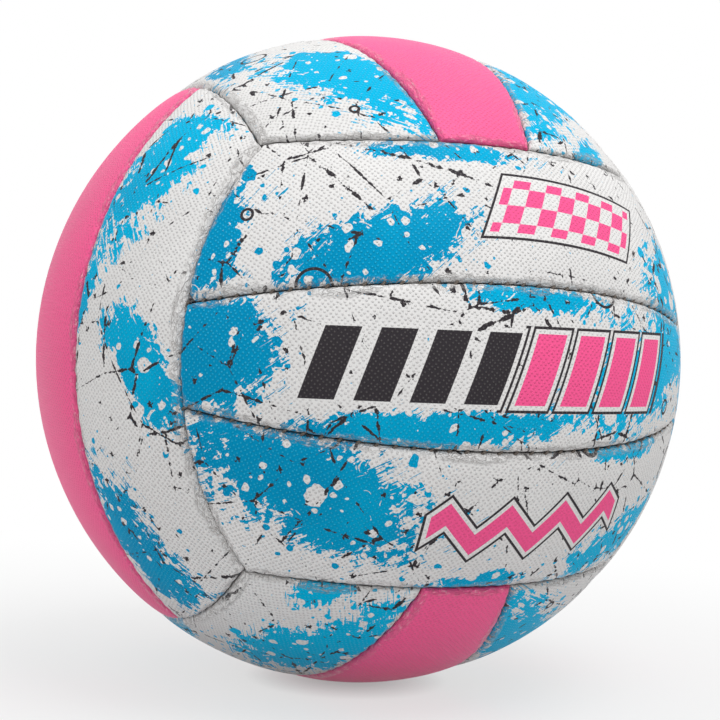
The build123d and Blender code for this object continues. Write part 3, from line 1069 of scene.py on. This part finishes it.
def dress(nodes, material):
    """Give CAD nodes a finished material."""
    for node in nodes:
        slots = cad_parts[node].data.materials
        slots.clear()
        slots.append(material)


def named(start):
    """CAD nodes whose names begin with a word."""
    return [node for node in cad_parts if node.startswith(start)]


class NETBALL_OT_linings(bpy.types.Operator):
    """Finish the woven cloth linings behind the covers"""

    bl_idname = "netball.linings"
    bl_label = "Cloth linings"

    def execute(self, context):
        material, wire, shader = new_material("Lining cloth")
        place = wire.add("ShaderNodeTexCoord").outputs["Object"]
        inputs = {"Vector": place, "Scale": 420.0, "Distortion": 1.2}
        bands = [wire.add("ShaderNodeTexWave", inputs, bands_direction=way) for way in ("X", "Z")]
        weave = wire.maths("MULTIPLY", bands[0].outputs["Fac"], bands[1].outputs["Fac"])
        wire.feed(shader["Base Color"], wire.mix(weave, *CLOTH))
        wire.feed(shader["Roughness"], wire.maths("MULTIPLY_ADD", weave, -0.1, 0.92))
        bump = wire.add("ShaderNodeBump", {"Height": weave, "Strength": 0.6, "Distance": 0.0002})
        wire.feed(shader["Normal"], bump.outputs["Normal"])
        dress(named("lining_"), material)
        return {"FINISHED"}


def stitch_bars(seam, radius, reach, depth, sizes):
    """Short bars of thread across one seam's groove: the rings of points of a tube for each stitch."""
    bars = []
    ring = math.sqrt(radius**2 - seam.height**2)
    across = np.cross(seam.axis, seam.middle)
    count = int(reach / sizes.stitch_pitch)
    steps = np.linspace(-1, 1, STITCH_STEPS)
    turns = np.linspace(0, math.tau, STITCH_SIDES, endpoint=False)
    for number in range(-count, count):
        angle = (number + 0.5) * sizes.stitch_pitch / ring
        spoke = math.cos(angle) * seam.middle + math.sin(angle) * across
        foot = seam.axis * seam.height + spoke * ring
        out = foot / radius
        tangent = np.cross(seam.axis, spoke)
        side = np.cross(out, tangent)
        path = foot + steps[:, None] * (side * STITCH_HALF + tangent * STITCH_LEAN)
        path -= out * (depth + STITCH_DIVE * steps[:, None] ** 2)
        ahead = np.gradient(path, axis=0)
        ahead /= np.linalg.norm(ahead, axis=1, keepdims=True)
        first = np.cross(ahead, tangent)
        first /= np.linalg.norm(first, axis=1, keepdims=True)
        second = np.cross(ahead, first)
        rings = path[:, None] + THREAD_RADIUS * (
            np.cos(turns)[None, :, None] * first[:, None] + np.sin(turns)[None, :, None] * second[:, None]
        )
        bars.append(rings)
    return bars


class NETBALL_OT_threads(bpy.types.Operator):
    """Finish the waxed seam threads and make the stitches that show in the grooves"""

    bl_idname = "netball.threads"
    bl_label = "Seam threads"

    def execute(self, context):
        material, wire, shader = new_material("Waxed thread")
        place = wire.add("ShaderNodeTexCoord").outputs["Object"]
        inputs = {"Vector": place, "Scale": 700.0, "Distortion": 2.0}
        twist = wire.add("ShaderNodeTexWave", inputs, bands_direction="DIAGONAL").outputs["Fac"]
        bloom = wire.add("ShaderNodeGroup", node_tree=mottle_group())
        wire.feed(bloom.inputs["Place"], place)
        strand = wire.mix(twist, *STRAND)
        wire.feed(shader["Base Color"], wire.mix(bloom.outputs["Bloom"], strand, WAX))
        wire.feed(shader["Roughness"], wire.maths("MULTIPLY_ADD", bloom.outputs["Bloom"], 0.2, 0.5))
        bump = wire.add("ShaderNodeBump", {"Height": twist, "Strength": 0.6, "Distance": 0.0001})
        wire.feed(shader["Normal"], bump.outputs["Normal"])
        dress(named("edge_thread_") + named("strip_thread_"), material)

        sizes = context.scene.netball_sizes
        panel = Panel(sizes, 0)
        for face, (out, along, _, _) in FACES.items():
            bars = []
            depth = EDGE_STITCH_DEPTH if face in PINK_FACES else STRIP_STITCH_DEPTH
            for seam in (panel.low, panel.high):
                reach = panel.length / 2 - STRIP_SEAM_END
                bars += stitch_bars(seam, panel.radius, reach, depth, sizes)
            for seam in (panel.left, panel.right):
                reach = panel.edge_half - EDGE_SEAM_END
                bars += stitch_bars(seam, panel.radius, reach, EDGE_STITCH_DEPTH, sizes)
            points, faces = [], []
            for rings in bars:
                start = len(points)
                rows, columns = rings.shape[:2]
                index = start + np.arange(rows * columns).reshape(rows, columns)
                after = np.roll(index, -1, axis=1)
                sides = np.stack([index[:-1], after[:-1], after[1:], index[1:]], axis=-1)
                faces += sides.reshape(-1, 4).tolist()
                faces += [index[0, ::-1].tolist(), index[-1].tolist()]
                points += rings.reshape(-1, 3).tolist()
            mesh = bpy.data.meshes.new(f"stitches_{face}")
            mesh.from_pydata(points, [], faces)
            mesh.transform(face_place(out, along))
            mesh.shade_smooth()
            mesh.materials.append(material)
            piece = bpy.data.objects.new(mesh.name, mesh)
            context.scene.collection.objects.link(piece)
            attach(piece, "ball")
        return {"FINISHED"}


def rubber(name, dark, pale, roughness, scale):
    """Moulded rubber with an uneven bloom."""
    material, wire, shader = new_material(name)
    bloom = wire.add("ShaderNodeGroup", node_tree=mottle_group())
    wire.feed(bloom.inputs["Place"], wire.add("ShaderNodeTexCoord").outputs["Object"])
    bloom.inputs["Scale"].default_value = scale
    wire.feed(shader["Base Color"], wire.mix(bloom.outputs["Bloom"], dark, pale))
    wire.feed(shader["Roughness"], wire.maths("MULTIPLY_ADD", bloom.outputs["Bloom"], 0.18, roughness))
    inputs = {"Height": bloom.outputs["Grain"], "Strength": 0.4, "Distance": 0.00008}
    bump = wire.add("ShaderNodeBump", inputs)
    wire.feed(shader["Normal"], bump.outputs["Normal"])
    return material


class NETBALL_OT_bladder(bpy.types.Operator):
    """Finish the bladder and its valve patch"""

    bl_idname = "netball.bladder"
    bl_label = "Bladder"

    def execute(self, context):
        dress(["bladder", "valve_patch"], rubber("Butyl rubber", *BUTYL, roughness=0.6, scale=90.0))
        return {"FINISHED"}


class NETBALL_OT_valve(bpy.types.Operator):
    """Finish the valve body and its plug"""

    bl_idname = "netball.valve"
    bl_label = "Valve"

    def execute(self, context):
        dress(["valve_body"], rubber("Valve rubber", *SLEEVE, roughness=0.45, scale=400.0))
        dress(["valve_plug"], rubber("Plug rubber", *PLUG, roughness=0.5, scale=500.0))
        return {"FINISHED"}


class NETBALL_OT_stage(bpy.types.Operator):
    """Set the floor, the lights and the camera"""

    bl_idname = "netball.stage"
    bl_label = "Stage"

    def execute(self, context):
        scene, view = context.scene, context.scene.netball_view
        radius = scene.netball_sizes.circumference / math.tau
        scene.view_settings.view_transform = "Standard"

        mesh = bpy.data.meshes.new("floor")
        shape = bmesh.new()
        bmesh.ops.create_circle(shape, cap_ends=True, segments=FLOOR_SIDES, radius=FLOOR_RADIUS)
        bmesh.ops.translate(shape, verts=shape.verts, vec=(0, 0, -radius - FLOOR_GAP))
        shape.to_mesh(mesh)
        shape.free()
        floor = bpy.data.objects.new("floor", mesh)
        scene.collection.objects.link(floor)
        material, wire, shader = new_material("White floor")
        shader["Base Color"].default_value = FLOOR_COLOUR
        shader["Roughness"].default_value = 0.9
        direct = self.direct(wire)
        glow = wire.add("ShaderNodeEmission", {"Color": (1, 1, 1, 1), "Strength": 1.0})
        place = wire.add("ShaderNodeTexCoord").outputs["Object"]
        away = wire.vectors("LENGTH", wire.vectors("MULTIPLY", place, (1, 1, 0)), out="Value")
        contact = wire.ramp(away, 0.0, 0.07, 0.3, 1.0)
        plain = wire.maths("MINIMUM", contact, wire.ramp(away, 0.02, 0.4, 0.66, 1.0))
        share = wire.maths("MULTIPLY", direct, plain)
        both = wire.add("ShaderNodeMixShader", {0: share, 2: glow.outputs[0]})
        output = material.node_tree.nodes["Material Output"]
        wire.feed(both.inputs[1], material.node_tree.nodes["Principled BSDF"].outputs[0])
        below = wire.add("ShaderNodeNewGeometry").outputs["Backfacing"]
        clear = wire.add("ShaderNodeBsdfTransparent")
        ends = wire.add("ShaderNodeMixShader", {0: below, 1: both.outputs[0], 2: clear.outputs[0]})
        wire.feed(output.inputs["Surface"], ends.outputs[0])
        mesh.materials.append(material)

        world = bpy.data.worlds.new("Studio")
        scene.world = world
        world.use_nodes = True
        wire = Wiring(world.node_tree)
        direct = self.direct(wire)
        lit = wire.add("ShaderNodeBackground", {"Color": (1, 1, 1, 1), "Strength": WORLD_LIGHT})
        white = wire.add("ShaderNodeBackground", {"Color": (1, 1, 1, 1), "Strength": 1.0})
        both = wire.add("ShaderNodeMixShader", {0: direct, 1: lit.outputs[0], 2: white.outputs[0]})
        wire.feed(world.node_tree.nodes["World Output"].inputs["Surface"], both.outputs[0])

        for name, place, size, power in LAMPS:
            self.lamp(scene, name, place, size, power)

        level = math.cos(view.elevation)
        beside = math.sin(view.azimuth) * level
        behind = -math.cos(view.azimuth) * level
        away = Vector((beside, behind, math.sin(view.elevation)))
        right = Vector((0, 0, 1)).cross(away).normalized()
        turned = Matrix((right, away.cross(right), away)).transposed() @ Matrix.Rotation(view.roll, 3, "Z")
        lens = bpy.data.cameras.new("camera")
        lens.angle = view.field_of_view
        lens.clip_start = 0.01
        lens.shift_x, lens.shift_y = LENS_SHIFT
        camera = bpy.data.objects.new("camera", lens)
        camera.matrix_world = Matrix.Translation(away * view.distance) @ turned.to_4x4()
        scene.collection.objects.link(camera)
        scene.camera = camera
        return {"FINISHED"}

    def direct(self, wire):
        """Rays that see the background itself: from the camera, by reflection or through glass."""
        seen = wire.add("ShaderNodeLightPath").outputs
        glossy = wire.maths("MAXIMUM", seen["Is Glossy Ray"], seen["Is Transmission Ray"])
        return wire.maths("MAXIMUM", seen["Is Camera Ray"], glossy)

    def lamp(self, scene, name, place, size, power):
        light = bpy.data.lights.new(name, "AREA")
        light.size, light.energy = size, power
        lamp = bpy.data.objects.new(name, light)
        lamp.location = place
        lamp.rotation_euler = Vector(place).to_track_quat("Z", "Y").to_euler()
        scene.collection.objects.link(lamp)


OPERATORS = (
    NETBALL_OT_covers,
    NETBALL_OT_linings,
    NETBALL_OT_threads,
    NETBALL_OT_bladder,
    NETBALL_OT_valve,
    NETBALL_OT_stage,
)


class NETBALL_PT_panel(bpy.types.Panel):
    """Lists the ball's settings and the steps that build it"""

    bl_label = "Netball"
    bl_space_type = "VIEW_3D"
    bl_region_type = "UI"
    bl_category = "Netball"

    def draw(self, context):
        scene = context.scene
        for group in (scene.netball_sizes, scene.netball_finish, scene.netball_view):
            box = self.layout.box()
            for name in group.__annotations__:
                box.prop(group, name)
        for operator in OPERATORS:
            self.layout.operator(operator.bl_idname)


CLASSES = (BallSizes, BallFinish, PhotoView) + OPERATORS + (NETBALL_PT_panel,)


def register():
    for each in CLASSES:
        bpy.utils.register_class(each)
    bpy.types.Scene.netball_sizes = PointerProperty(type=BallSizes)
    bpy.types.Scene.netball_finish = PointerProperty(type=BallFinish)
    bpy.types.Scene.netball_view = PointerProperty(type=PhotoView)


def unregister():
    del bpy.types.Scene.netball_sizes, bpy.types.Scene.netball_finish, bpy.types.Scene.netball_view
    for each in reversed(CLASSES):
        bpy.utils.unregister_class(each)


def main():
    register()
    bpy.ops.netball.covers()
    bpy.ops.netball.linings()
    bpy.ops.netball.threads()
    bpy.ops.netball.bladder()
    bpy.ops.netball.valve()
    bpy.ops.netball.stage()


if __name__ == "__main__":
    main()
